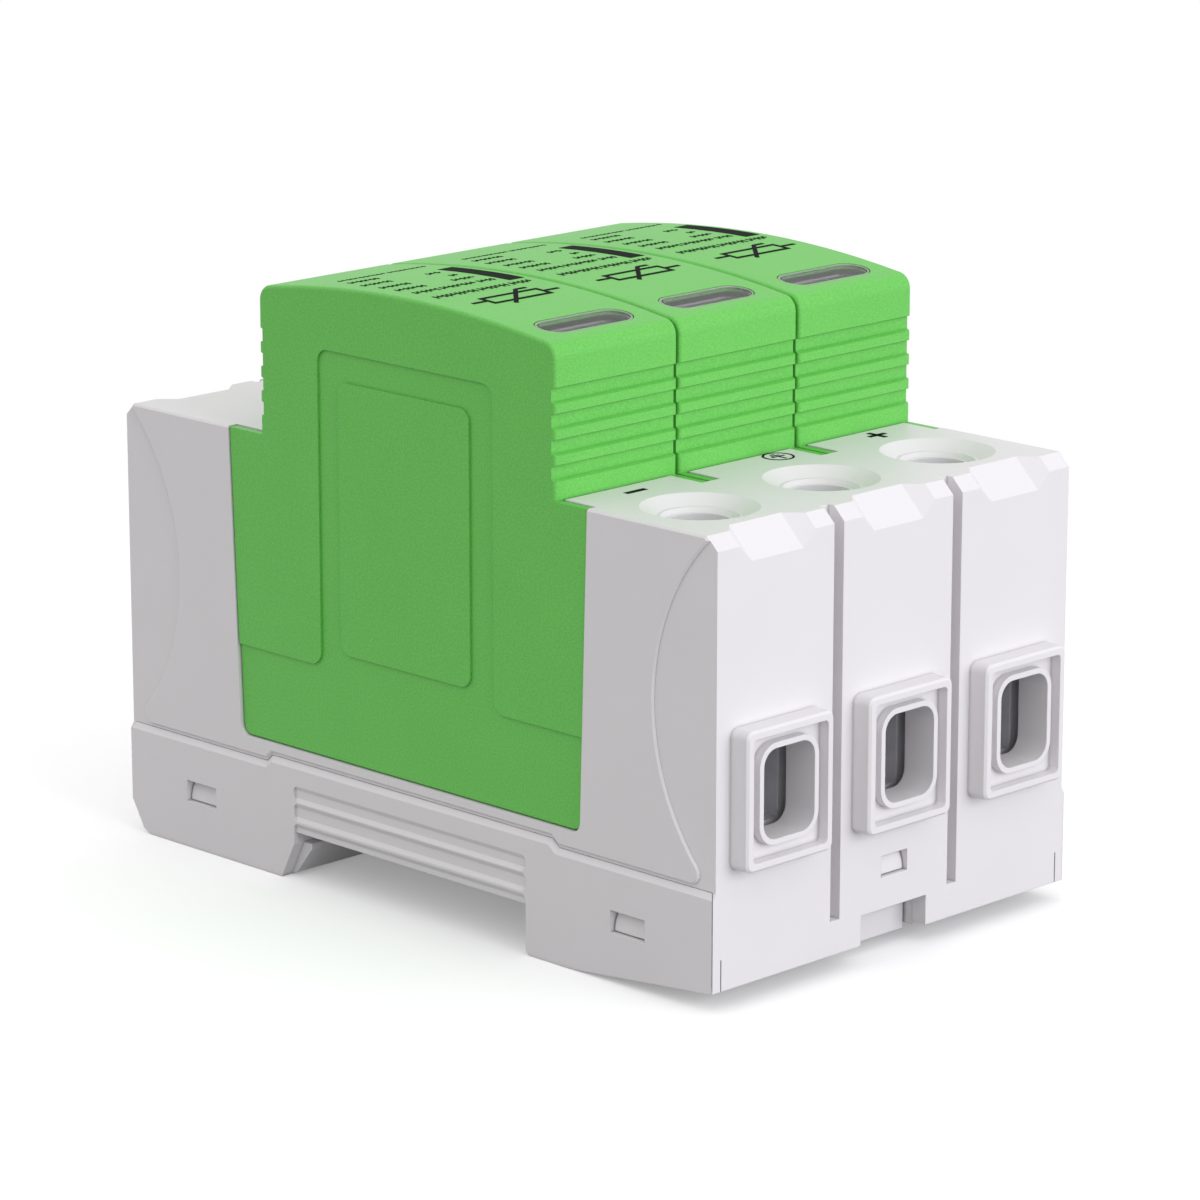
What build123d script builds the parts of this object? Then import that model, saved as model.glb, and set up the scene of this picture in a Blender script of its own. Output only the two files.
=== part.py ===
from build123d import *
import math
import os

# Three-pole plug-in surge arrester for a 35 mm top-hat rail. Millimetres, +Z away from the rail,
# +X across the poles, -Y towards the wire terminals. The origin is under the middle of the whole
# object, on the plane its feet stand on. Shapes are laid out in d, the distance from the terminal
# end face towards the far end, and moved into place when they are saved.

# Overall layout
pole_count = 3
pole_pitch = 17.9
cartridge_gap = 0.4
side_reveal = 0.15
cover_proud = 0.15
body_length = 89.5
end_relief = 0.3
field_band = 0.35
field_corner = 1.2
field_bevel = 0.22
arc_end = 0.4
arc_bulge = 8.5
shoulder_z = 48.7
cartridge_rise = 17.7
wall = 1.8
gap = 0.05
fine = 0.15

# Rail seat and the cover that carries it
cover_wall = 1.4
cover_top = 12.45
cover_step = 0.8
ledge_slope = 0.65
rail_near = 26.6
rail_width = 35.0
rail_play = 0.8
rail_seat_z = 5.4
lip_room = 1.3
hook_reach = 1.3
hook_thick = 0.6
edge_groove = 0.3
groove_play = 0.3
foot_slope = 6.3
toe_rise = 2.05
heel_chamfer = (3.1, 3.7)
groove_steps = ((1.75, 1.8), (3.7, 2.0), (5.95, 2.0))
groove_deep = 0.3
groove_corner = 0.7
slit_top = 5.35
slit_in = 1.2
slit = 0.15
side_window = (4.9, 2.35)
side_window_z = 5.3
side_window_end = 9.4

# Terminal end
end_chamfer = 1.4
pocket_half = 3.75
pocket_depth = 3.1
slot_width = 1.42
slot_depth = 2.2
slot_bottom = 5.7
rib_half = 1.1
port_shift = -0.3
frame_size = (12.6, 14.6)
frame_rise = 2.0
frame_proud = 2.4
frame_wall = 0.9
frame_depth = 1.3
port_size = (7.4, 9.4)
port_radius = 1.8
port_rise = 2.8
collar_wall = 0.6
collar_set_back = 0.25
front_window = (4.0, 2.3)
front_window_drop = 3.75
nib_low_in = 0.55
nib_high_in = 1.25

# Screw terminals
screw_d = 10.7
cone_top_r = 6.1
cone_low_r = 4.3
cone_deep = 1.0
ring_r = 3.6
ring_deep = 1.5
driver_hole_r = 3.2
roof = 3.5
thread_r = 2.5
thread_play = 0.05
head_r = 3.7
head_height = 3.7
head_clear = 0.3
cage_wall = 1.5
cage_reach = 4.5
cage_extra = 2.1
cage_top = 3.0
tongue_clear = 0.2

# Plug-in bay and cartridges
bay_near = 22.2
bay_floor = 22.0
bay_play = 0.2
bay_wall = 1.2
floor_thick = 1.5
cheek = 0.95
cheek_rise = 1.6
cheek_top_reach = (4.3, 4.8)
cheek_foot_reach = (3.25, 3.5)
cheek_corner = 1.2
panel_step = 0.25
arch_radius = 138.6
shell_wall = 1.4
plate_thick = 1.5
corner_r = 1.7
edge_r = 0.4
rib_rise = 1.9
rib_pitch = 2.65
rib_gap = 1.7
rib_deep = 0.55
lens_in = 4.9
lens_margin = 1.5
lens_width = 4.3
lens_drop = 0.15
lens_edge = 0.2
flange = 0.55

# Contacts
strip = 1.2
strip_half = 4.5
strip_rise = 2.0
blade = 1.5
blade_in = 5.3
blade_rise = 3.5
jaw_half = 4.0
jaw_drop = 2.4
star_in = 6.7
star_width = 5.0

# Trip lever, shutter and marker
pivot_in = 13.8
pivot_rise = 8.0
pivot_r = 1.5
shutter_drop = 1.77
shutter_thick = 0.7
flag_turn = (10.4, 20.4)
marker_drop = 0.54
marker_thick = 0.6
pad_in = 2.4
pad_rise = 10.6
pad_size = 3.2
pad_thick = 0.22
spring_rise = 17.6

# Rail clip
clip_half = 4.9
clip_face = 3.07
clip_reach = 1.7
clip_low = 1.05
clip_drop = 0.3

# Sizes that follow
cartridge_width = pole_pitch - cartridge_gap
half_cartridge = cartridge_width / 2
body_width = (pole_count - 1) * pole_pitch + cartridge_width + 2 * side_reveal
crown_z = shoulder_z + cartridge_rise
end_y = -(body_length + frame_proud) / 2 + frame_proud
pole_x = [(i - (pole_count - 1) / 2) * pole_pitch for i in range(pole_count)]
gap_x = [(a + b) / 2 for a, b in zip(pole_x, pole_x[1:])]
half_body = body_width / 2
half_cover = half_body + cover_proud
inner_cover = half_cover - cover_wall
island_half = half_cartridge - cheek - bay_play
chamber_half = island_half - 0.8
skirt_out = inner_cover - gap
skirt_in = pole_x[-1] + chamber_half
middle = body_length / 2

rail_far = rail_near + rail_width + rail_play
lip_z = rail_seat_z - lip_room
seat_roof = rail_seat_z + 1.6
skirt_low = seat_roof + 0.4
side_window_d = (side_window_end, body_length - side_window_end - side_window[0])
front_window_z = cover_top - front_window_drop

clip_tip = rail_near + clip_reach
clip_high = rail_seat_z - clip_drop
clip_roof_z = clip_high + fine
tunnel_top = clip_roof_z + 1.1
clip_heel = clip_face + 5.0
clip_shoulder = rail_near - 7.4
foot_wall = rail_near - cover_wall
guide_out = pole_pitch / 2 - rib_half - fine

frame_low = cover_top + frame_rise
port_low = frame_low + port_rise
cage_room = (port_size[0], port_size[1] + cage_extra)
cage_floor_z = port_low - fine - cage_wall
cage_roof_z = cage_floor_z + cage_wall + cage_room[1]
cage_d = (wall + 1.4, screw_d + cage_reach)
tongue_z = cage_roof_z - tongue_clear - strip
riser_d = cage_d[1] + 0.5
head_low = shoulder_z - roof - head_clear - head_height

bay_far = body_length - bay_near
step_near = bay_near - 0.15
step_far = bay_far - 0.25
cheek_low = cover_top + cover_step + cheek_rise
cheek_top = (bay_near - cheek_top_reach[0], bay_far + cheek_top_reach[1])
cheek_foot = (bay_near - cheek_foot_reach[0], bay_far + cheek_foot_reach[1])
arch_mid = (bay_near + bay_far) / 2
cartridge_d = (bay_near + bay_play, bay_far - bay_play)
cartridge_low = bay_floor + 0.25
room_d = (cartridge_d[0] + shell_wall + gap, cartridge_d[1] - shell_wall - gap)
room_half = half_cartridge - cheek
plate_top = cartridge_low + plate_thick
rib_low = shoulder_z + rib_rise
lens_d = bay_near + lens_in
lens_z = crown_z - arch_radius + math.sqrt(arch_radius ** 2 - (arch_mid - lens_d) ** 2)
lens_size = (2 * (room_half - lens_margin), lens_width)

strip_z = seat_roof + strip_rise
blade_low = strip_z + blade_rise
blade_near = bay_near + blade_in
blade_far = bay_far - blade_in
jaw_top = bay_floor - jaw_drop
star_d = (bay_far + star_in, bay_far + star_in + star_width)

pivot = (bay_near + pivot_in, bay_floor + pivot_rise)
shutter_out = lens_z - shutter_drop - pivot[1]
shutter_in = shutter_out - shutter_thick
marker_top = pivot[1] + shutter_in * math.cos(math.radians(flag_turn[1])) - marker_drop
varistor_d = (bay_near + 8.2, bay_far - 2.9)
varistor_z = (plate_top + 2.05, marker_top - marker_thick - 0.2)
varistor_face = 1.5
lever_x = (room_half - 1.7, room_half - 0.3)


def block(x, d, z):
    """Plain box from its low and high values along each axis."""
    size = [b - a for a, b in (x, d, z)]
    return Pos(*[(a + b) / 2 for a, b in (x, d, z)]) * Box(*size)


def side(points, x):
    """Outline in d and z, extruded along X."""
    outline = make_face(Polyline(*[(x[0], d, z) for d, z in points], close=True))
    return extrude(outline, amount=x[1] - x[0], dir=(1, 0, 0))


def front(points, d):
    """Outline in x and z, extruded along the length."""
    outline = make_face(Polyline(*[(x, d[0], z) for x, z in points], close=True))
    return extrude(outline, amount=d[1] - d[0], dir=(0, 1, 0))


def plan(points, z):
    """Outline in x and d, extruded upwards."""
    outline = make_face(Polyline(*[(x, d, z[0]) for x, d in points], close=True))
    return extrude(outline, amount=z[1] - z[0], dir=(0, 0, 1))


def rounded(width, height, radius, x, z, d):
    """Rounded rectangle facing the terminal end, centred on x and z."""
    shape = extrude(Plane.XZ * RectangleRounded(width, height, radius), amount=d[1] - d[0], dir=(0, 1, 0))
    return Pos(x, d[0], z) * shape


def across(radius, d, z, x):
    """Cylinder lying along X."""
    return Pos((x[0] + x[1]) / 2, d, z) * Rot(0, 90, 0) * Cylinder(radius, x[1] - x[0])


def upright(radius, x, d, z):
    """Cylinder standing on z."""
    return Pos(x, d, (z[0] + z[1]) / 2) * Cylinder(radius, z[1] - z[0])


def joined(parts):
    """Union of a list of solids."""
    whole = parts[0]
    for part in parts[1:]:
        whole = whole + part
    return whole


def mirrored(part):
    """The same shape at the far end."""
    return Pos(0, middle, 0) * mirror(Pos(0, -middle, 0) * part, about=Plane.XZ)


def both_sides(part):
    """The shape and its twin on the other side."""
    return [part, mirror(part, about=Plane.YZ)]


def save(name, part):
    """Writes one closed piece in its place."""
    part.label = name
    export_step(Pos(0, end_y, 0) * part, f"parts/{name}.step")


os.makedirs("parts", exist_ok=True)


# Cover: two side plates with the rail recess between the feet
def cover_profile():
    """Side plate outline, from the terminal toe over the top and back along the feet."""
    raised = cover_top + cover_step
    return [
        (0, toe_rise), (0, cover_top), (step_near, cover_top), (step_near + 0.9, raised),
        (step_far - 0.9, raised), (step_far, cover_top), (body_length, cover_top),
        (body_length, heel_chamfer[1]), (body_length - 1.9, 0.55), (body_length - heel_chamfer[0], 0),
        (rail_far + 2.1, 0), (rail_far, lip_z), (rail_far, rail_seat_z), (rail_near, rail_seat_z),
        (rail_near, 0.5), (rail_near - 0.5, 0), (rail_near - foot_slope, 0),
    ]


def shadow_groove(high, tall):
    """Long groove over the rail recess, sloping in at its top and out at its foot, with round corners."""
    low = high - tall
    trough = front([(-half_cover - 1, high), (-half_cover, high), (-half_cover + groove_deep, high - 0.5),
                    (-half_cover + groove_deep, low + 0.45), (-half_cover, low), (-half_cover - 1, low)],
                   (rail_near, rail_far))
    room = block((-half_cover - 2, -inner_cover), (rail_near, rail_far), (low, high))
    return trough & fillet(room.edges().filter_by(Axis.X), groove_corner)


def nib_outline(side_on, z, tall):
    """Face of a snap nib: depths below the outer skin, bulging from a deep top to a shallow foot."""
    start, between, end = [side_on(depth, z + rise) for depth, rise in
                           ((nib_low_in, 0), (nib_low_in + 0.2, tall * 0.55), (nib_high_in, tall))]
    return ThreePointArc(start, between, end), start, end


def side_plate():
    """Left plate with its sloping ledge, snap windows and three shadow grooves."""
    plate = side(cover_profile(), (-half_cover, -inner_cover))
    outer = plate.faces().sort_by(Axis.X)[0]
    crest = [e for e in outer.edges() if e.bounding_box().min.Z > cover_top - 0.01]
    plate = chamfer(crest, ledge_slope, half_cover - half_body + end_relief, reference=outer)
    for d in side_window_d:
        plate -= block((-half_cover - 1, -inner_cover + 1), (d, d + side_window[0]),
                       (side_window_z, side_window_z + side_window[1]))
    for drop, tall in groove_steps:
        plate -= shadow_groove(cover_top - drop, tall)
    mitre = plan([(-half_cover - 1, -1), (-half_cover, 0.03), (-inner_cover, cover_wall + 0.03),
                  (-inner_cover, wall + gap), (-inner_cover + 1, wall + gap), (-inner_cover + 1, -1)],
                 (-1, cover_top + 2))
    return plate - mitre - mirrored(mitre)


def base_cover():
    """Feet, rail seat, fixed hook, clip guides and the two snap tongues."""
    x = (-inner_cover, inner_cover)
    near_sole = side([(wall + gap, toe_rise - 0.15), (rail_near - foot_slope, 0), (rail_near, 0),
                      (rail_near, seat_roof), (foot_wall, seat_roof), (foot_wall, cover_wall),
                      (rail_near - foot_slope, cover_wall), (wall + gap, toe_rise + 1.2)], x)
    far_end = body_length - wall - gap
    far_sole = side([(rail_far, seat_roof), (rail_far, lip_z), (rail_far - hook_reach, lip_z),
                     (rail_far - hook_reach, lip_z - hook_thick), (rail_far + 1.2, 0.4), (rail_far + 2.1, 0),
                     (far_end - 1.3, 0), (far_end, 0.7), (far_end, 2.2), (far_end - 1.0, cover_wall),
                     (rail_far + 3.6, cover_wall), (rail_far + cover_wall, lip_z),
                     (rail_far + cover_wall, seat_roof)], x)
    seat = block(x, (foot_wall, rail_far + cover_wall), (rail_seat_z, seat_roof))
    for d in ((rail_near, clip_tip + groove_play), (rail_far - hook_reach - groove_play, rail_far)):
        seat -= block(x, d, (rail_seat_z - 1, rail_seat_z + edge_groove))
    guides = [near_sole, far_sole, seat]
    inside = clip_half + 0.25
    ramp = (clip_heel - 2.6, clip_shoulder - 0.2)
    for s in (-1, 1):
        rail = sorted((s * inside, s * guide_out))
        guides.append(block(rail, (ramp[1], foot_wall), (0.5, tunnel_top)))
        guides.append(block(rail, (wall + gap, ramp[0]), (1.6, tunnel_top)))
        guides.append(plan([(s * guide_out, ramp[0]), (s * guide_out, ramp[1]),
                            (s * (guide_out - 0.3), ramp[1]), (s * (guide_out - 0.9), ramp[0])],
                           (0.9, tunnel_top)))
    guides.append(block((-guide_out, guide_out), (wall + gap, foot_wall), (clip_roof_z, tunnel_top)))
    tongue_wide = front_window[0] / 2 - 0.1
    for flip, foot in ((False, tunnel_top - 0.3), (True, cover_wall - 0.4)):
        tongue = block((-tongue_wide, tongue_wide), (wall + gap, wall + 1.3), (foot, front_window_z + 2.2))
        face, low, high = nib_outline(lambda depth, z: (-tongue_wide, depth, z), front_window_z + 0.1, 2.1)
        back = wall + 0.5
        nib = make_face([face, Polyline(high, (-tongue_wide, back, high[2]), (-tongue_wide, back, low[2]), low)])
        tongue += extrude(nib, amount=2 * tongue_wide, dir=(1, 0, 0))
        guides.append(mirrored(tongue) if flip else tongue)
    cover = joined(guides + both_sides(side_plate()))
    cover -= block((-inside, inside), (-1, rail_near + 1), (-1, clip_roof_z))
    cover -= block((-clip_half - 1.35, clip_half + 1.35), (clip_shoulder - 3.3, foot_wall + 0.01),
                   (clip_high - 2.1, clip_high - 0.5))
    return cover


# Housing: one moulding, open below, with the bay for the cartridges
def cheek_outline(grow):
    """Corners of the cartridge cheek seen from the side, with grow as the room round it."""
    lean = [(top - foot) / (shoulder_z - cheek_low) for top, foot in zip(cheek_top, cheek_foot)]
    up = 5 if grow else -0.1
    return [(cheek_top[0] + lean[0] * up - grow, shoulder_z + up), (cheek_foot[0] - grow, cheek_low - grow),
            (cheek_foot[1] + grow, cheek_low - grow), (cheek_top[1] + lean[1] * up + grow, shoulder_z + up)]


def cheek_plate(grow, x):
    """Cheek with its two rounded lower corners."""
    plate = side(cheek_outline(grow), x)
    return fillet(plate.edges().filter_by(Axis.X).sort_by(Axis.Z)[:2], cheek_corner)


def pocket(x):
    """Sloping finger pocket with flared sides, cut into the terminal edge of one pole."""
    rise, run = 5.0, 6.0
    half_top = pocket_half + math.sqrt(2) * rise
    slope = Plane(origin=(x, 0, shoulder_z - pocket_depth), x_dir=(1, 0, 0), z_dir=(0, 1, 1))
    wedge = make_face(slope * Polyline((-pocket_half, 0), (pocket_half, 0), (half_top, -rise),
                                       (-half_top, -rise), close=True))
    return extrude(wedge, amount=run, both=True)


def slot(x):
    """Groove between two poles."""
    return block((x - slot_width / 2, x + slot_width / 2), (-1, slot_depth), (slot_bottom, shoulder_z + 1))


def side_relief():
    """Skin taken off the left side round a raised field with arched ends and rounded lower corners."""
    x, far = -half_body - 2, body_length
    low, top = cover_top + field_band, shoulder_z + 0.1
    half_way = (low + top) / 2
    near_arc = ThreePointArc((x, arc_end, low), (x, arc_bulge, half_way), (x, arc_end, top))
    far_arc = ThreePointArc((x, far - arc_end, top), (x, far - arc_bulge, half_way), (x, far - arc_end, low))
    foot = Polyline((x, far - arc_end, low), (x, step_far, low), (x, step_far - 0.9, low + cover_step),
                    (x, step_near + 0.9, low + cover_step), (x, step_near, low), (x, arc_end, low))
    field = extrude(make_face([near_arc, Line(near_arc @ 1, far_arc @ 0), far_arc, foot]), amount=4, dir=(1, 0, 0))
    corners = [e for e in field.edges().filter_by(Axis.X)
               if e.center().Z < low + 0.1 and not 1 < e.center().Y < far - 1]
    field = fillet(corners, field_corner)
    return block((x + 1, -half_body + end_relief), (-1, far + 1), (cover_top, shoulder_z + 1)) - field


def port_frame(x):
    """Raised rectangular frame round one wire port with a collar standing in it."""
    width, height = frame_size
    middle_z = frame_low + height / 2
    port_z = port_low + port_size[1] / 2
    frame = rounded(width, height, 0.9, x, middle_z, (-frame_proud, 0.1))
    frame = chamfer(frame.faces().sort_by(Axis.Y)[0].edges(), 0.25)
    frame -= rounded(width - 2 * frame_wall, height - 2 * frame_wall, 0.5, x, middle_z,
                     (-frame_proud - 1, -frame_proud + frame_depth))
    collar = rounded(port_size[0] + 2 * collar_wall, port_size[1] + 2 * collar_wall,
                     port_radius + collar_wall, x, port_z, (-frame_proud + collar_set_back, 0.1))
    return frame + collar


def screw_hole(x):
    """Cone, ledge and driver hole above one terminal screw."""
    cone = Pos(x, screw_d, shoulder_z - cone_deep / 2) * Cone(cone_low_r, cone_top_r, cone_deep)
    ring = Pos(x, screw_d, shoulder_z - (cone_deep + ring_deep) / 2) * Cone(
        ring_r, cone_low_r - 0.3, ring_deep - cone_deep)
    return cone + ring + upright(driver_hole_r, x, screw_d, (shoulder_z - 10, shoulder_z + 1))


def end_wall(low, inner_low):
    """End wall below the cover's edge, mitred against the side plates, with a slit beside each edge."""
    out, up = half_cover - gap, cover_top + 2
    foot = out - cover_wall
    whole = plan([(-out, 0), (out, 0), (foot, cover_wall), (foot, wall), (-foot, wall), (-foot, cover_wall)],
                 (0, up))
    neck = half_body - end_relief
    whole &= front([(-out, 0), (-out, cover_top - ledge_slope), (-neck, cover_top), (-neck, up),
                    (neck, up), (neck, cover_top), (out, cover_top - ledge_slope), (out, 0)], (0, wall))
    whole &= side([(0, up), (0, low), (wall, inner_low), (wall, up)], (-half_cover, half_cover))
    for cut in both_sides(block((-half_cover + slit_in, -half_cover + slit_in + slit), (-1, wall + 1), (0, slit_top))):
        whole -= cut
    return whole


def base_housing():
    """Terminal block, far block, cartridge bay and the skirt that snaps into the cover."""
    full = (-half_body, half_body)
    raised = cover_top + cover_step
    body = side([(0, cover_top + gap), (step_near - gap, cover_top + gap),
                 (step_near + 0.9 - gap, raised + gap), (step_far - 0.9 + gap, raised + gap),
                 (step_far + gap, cover_top + gap), (body_length, cover_top + gap),
                 (body_length, shoulder_z), (bay_far, shoulder_z), (bay_far, bay_floor),
                 (bay_near, bay_floor), (bay_near, shoulder_z), (0, shoulder_z)], full)
    rims = [e for e in body.edges().filter_by(Axis.X)
            if e.center().Z > shoulder_z - 0.1 and not 1 < e.center().Y < body_length - 1]
    body = chamfer(rims, end_chamfer)
    skirt = block((-skirt_out, skirt_out), (wall, body_length - wall), (skirt_low, cover_top + 2))
    near_end, far_end = end_wall(toe_rise, toe_rise), end_wall(heel_chamfer[1], 0.75)
    ribs = [block((x - rib_half, x + rib_half), (wall - 0.1, slot_depth + 1.2),
                  (slot_bottom - 1, skirt_low + 1)) for x in gap_x]
    solids = [body, skirt, near_end, mirrored(far_end)] + ribs + [mirrored(rib) for rib in ribs]
    solids += [port_frame(x + port_shift) for x in pole_x]
    house = joined(solids)
    for x in pole_x:
        cell = (x - chamber_half, x + chamber_half)
        cut = block(cell, (wall, bay_near - bay_wall), (0, shoulder_z - roof))
        cut += block(cell, (bay_near - 2.2, bay_far + 2.2), (0, bay_floor - floor_thick))
        cut += block(cell, (bay_far + bay_wall, star_d[0]), (0, shoulder_z - wall))
        cut += rounded(*port_size, port_radius, x + port_shift, port_low + port_size[1] / 2, (-5, wall + 1))
        cut += screw_hole(x)
        for d in (blade_near, blade_far):
            cut += block((x - strip_half - 0.5, x + strip_half + 0.5),
                         (d - blade / 2 - 0.5, d + blade / 2 + 0.5), (bay_floor - 5, bay_floor + 5))
        house -= cut
        cut = pocket(x)
        house -= cut + mirrored(cut)
    house -= block((-skirt_in, skirt_in), (star_d[0] - 0.5, body_length - wall), (0, shoulder_z - wall))
    for x in gap_x:
        cut = slot(x)
        house -= cut + mirrored(cut)
        house -= cheek_plate(fine, (x - pole_pitch / 2 + island_half, x + pole_pitch / 2 - island_half))
    edge = pole_x[-1] + island_half
    for cut in both_sides(cheek_plate(fine, (-half_body - 1, -edge))) + both_sides(side_relief()):
        house -= cut
    for s in (-1, 1):
        field = [f for f in house.faces().filter_by(Axis.X) if abs(f.center().X - s * half_body) < 0.01]
        rim = [e for f in field for e in f.edges()
               if e.center().Z < cheek_low - 0.5 or not cheek_top[0] - 5 < e.center().Y < cheek_top[1] + 5]
        house = chamfer(rim, field_bevel)
    window = block((-front_window[0] / 2, front_window[0] / 2), (-1, wall + 1),
                   (front_window_z, front_window_z + front_window[1]))
    notch = block((-clip_half - 0.1, clip_half + 0.1), (-1, wall + 1), (0, clip_high + 0.2))
    house -= window + mirrored(window) + notch
    nibs = []
    for d in side_window_d:
        z, start, long = side_window_z + 0.1, d + 0.15, side_window[0] - 0.3
        face, low, high = nib_outline(lambda depth, z: (depth - half_cover, start, z), z, 2.1)
        back = -skirt_out + 0.1
        nib = make_face([face, Polyline(high, (back, start, high[2]), (back, start, low[2]), low)])
        hanger = block((-skirt_out, -skirt_in), (start, start + long), (z, skirt_low + 1))
        nibs += both_sides(extrude(nib, amount=long, dir=(0, 1, 0)) + hanger)
    return joined([house] + nibs)


# Rail clip: a slide with two moulded bow legs and a hook for the near rail edge
def rail_clip():
    """Slide from the notch in the terminal end to the hook tip."""
    low, high, heel = clip_low, clip_high, clip_heel
    outline = [(clip_face, low), (clip_face, high), (rail_near - 0.3, high), (rail_near - 0.3, lip_z),
               (clip_tip, lip_z), (clip_tip, lip_z - hook_thick), (rail_near, low + 0.3),
               (rail_near - 0.4, low)]
    slide = side(outline, (-clip_half, clip_half))
    spine, toe, knee = 2.6, clip_shoulder - 1.13, clip_shoulder - 2.33
    for s in (-1, 1):
        slide -= block(sorted((s * spine, s * (clip_half + 1))), (heel, clip_shoulder), (0, high + 1))
    tip = (guide_out - 0.8, guide_out - 1.7)
    legs = [plan([(s * (spine - 0.2), heel - 0.4), (s * (clip_half - 0.05), heel - 0.4), (s * tip[0], knee),
                  (s * tip[0], toe), (s * tip[1], toe), (s * tip[1], knee + 0.1),
                  (s * (clip_half - 1), heel + 0.6), (s * (spine - 0.2), heel + 0.6)],
                 (high - 2.1, high - 0.6)) for s in (-1, 1)]
    wings = block((-clip_half - 1.1, clip_half + 1.1), (clip_shoulder + 0.4, foot_wall - 0.4),
                  (high - 1.95, high - 0.65))
    return joined([slide, wings] + legs)


# Screw terminals
def terminal_screw(x):
    """Screw with a crossed drive, standing on the fixed tongue."""
    top = head_low + head_height
    screw = upright(thread_r, x, screw_d, (tongue_z + strip + 0.1, head_low + 0.5))
    screw += upright(head_r, x, screw_d, (head_low, top))
    screw = chamfer(screw.edges().sort_by(Axis.Z)[-1], 0.4)
    screw -= block((x - 2.9, x + 2.9), (screw_d - 0.6, screw_d + 0.6), (top - 2, top + 1))
    return screw - block((x - 0.6, x + 0.6), (screw_d - 2.9, screw_d + 2.9), (top - 2, top + 1))


def terminal_cage(x):
    """Rectangular lift cage with a threaded top."""
    half = cage_room[0] / 2
    floor, top = cage_floor_z + cage_wall, cage_roof_z
    cage = block((x - half - cage_wall, x + half + cage_wall), cage_d, (cage_floor_z, top + cage_top))
    cage = fillet(cage.edges().filter_by(Axis.Y), 0.8)
    cage -= block((x - half, x + half), (cage_d[0] - 1, cage_d[1] + 1), (floor, top))
    for k in range(4):
        d = cage_d[0] + 1.8 + 2 * k
        cage -= block((x - half, x + half), (d, d + 0.8), (floor - 0.3, top))
    return cage - upright(thread_r + thread_play, x, screw_d, (top - 1, top + cage_top + 1))


def contact_bar(x):
    """Tongue in the cage, riser and foot, ending in the fixed finger of the near jaw."""
    low, high = strip_z, strip_z + strip
    inner = blade_near + blade / 2 + gap
    bar = side([(riser_d, low), (inner + 1.1, low), (inner + 1.1, jaw_top - 1.6), (inner + 1.7, jaw_top),
                (inner + 0.9, jaw_top), (inner, jaw_top - 1.8), (inner, high), (riser_d + strip, high),
                (riser_d + strip, tongue_z + strip), (riser_d, tongue_z + strip)],
               (x - strip_half, x + strip_half))
    tongue_half = cage_room[0] / 2 - 0.2
    return bar + block((x - tongue_half, x + tongue_half), (cage_d[0] + 0.4, riser_d + 0.2),
                       (tongue_z, tongue_z + strip))


def jaw_spring(x, d):
    """Springy finger that presses the blade against the fixed finger."""
    outer = d - blade / 2 - gap - 0.8
    base = strip_z + strip + 0.02
    end = d + blade / 2 + gap - 0.02
    return side([(outer, base), (end, base), (end, base + 0.7), (outer + 0.8, base + 0.7),
                 (outer + 0.8, jaw_top - 2.2), (outer + 0.1, jaw_top - 0.2),
                 (outer - 0.6, jaw_top - 0.4), (outer, jaw_top - 2.3)],
                (x - jaw_half, x + jaw_half))


def star_busbar():
    """Comb that ties the far jaws of all poles together."""
    low, high = strip_z, strip_z + strip
    inner = blade_far + blade / 2 + gap
    reach = pole_x[-1] + strip_half
    start = blade_far - 1.8
    comb = [block((-reach, reach), star_d, (low, high))]
    for x in pole_x:
        comb.append(side([(start, low), (star_d[0] + 0.1, low), (star_d[0] + 0.1, high),
                          (inner + 1.1, high), (inner + 1.1, jaw_top - 1.6), (inner + 1.7, jaw_top),
                          (inner + 0.9, jaw_top), (inner, jaw_top - 1.8), (inner, high), (start, high)],
                         (x - strip_half, x + strip_half)))
    return joined(comb)


# Cartridges
def arch(drop, z_low, d, x):
    """Block under the arched top, lowered by drop."""
    full = block(x, d, (z_low, crown_z + 1))
    return full & across(arch_radius - drop, arch_mid, crown_z - arch_radius, (x[0] - 1, x[1] + 1))


def stadium(x, grow, z):
    """Window outline as an upright prism."""
    length, width = lens_size[0] + 2 * grow, lens_size[1] + 2 * grow
    return Pos(x, lens_d, z[0]) * extrude(SlotOverall(length, width), amount=z[1] - z[0])


def side_panel(x, inwards):
    """Shallow stepped panel in one cartridge side: an arch over a foot band, less a raised field."""
    x = sorted((x, x + inwards))
    near, far = bay_near + 9.3, bay_far - 9.3
    band, top = bay_floor + 2.8, crown_z - 7.2
    beyond_near, beyond_far, below = cheek_top[0] - 4, cheek_top[1] + 3, cheek_low - 5
    tee = side([(near, top), (far, top), (far, band), (beyond_far, band), (beyond_far, below),
                (beyond_near, below), (beyond_near, band), (near, band)], x)
    bends = [e for e in tee.edges().filter_by(Axis.X) if near - 1 < e.center().Y < far + 1]
    field = side([(near + 3.5, band + 1.9), (far - 3.2, band + 1.9), (far - 3.2, top - 3.1),
                  (near + 3.5, top - 3.1)], x)
    return fillet(bends, 1.5) - fillet(field.edges().filter_by(Axis.X), 1.4)


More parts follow.
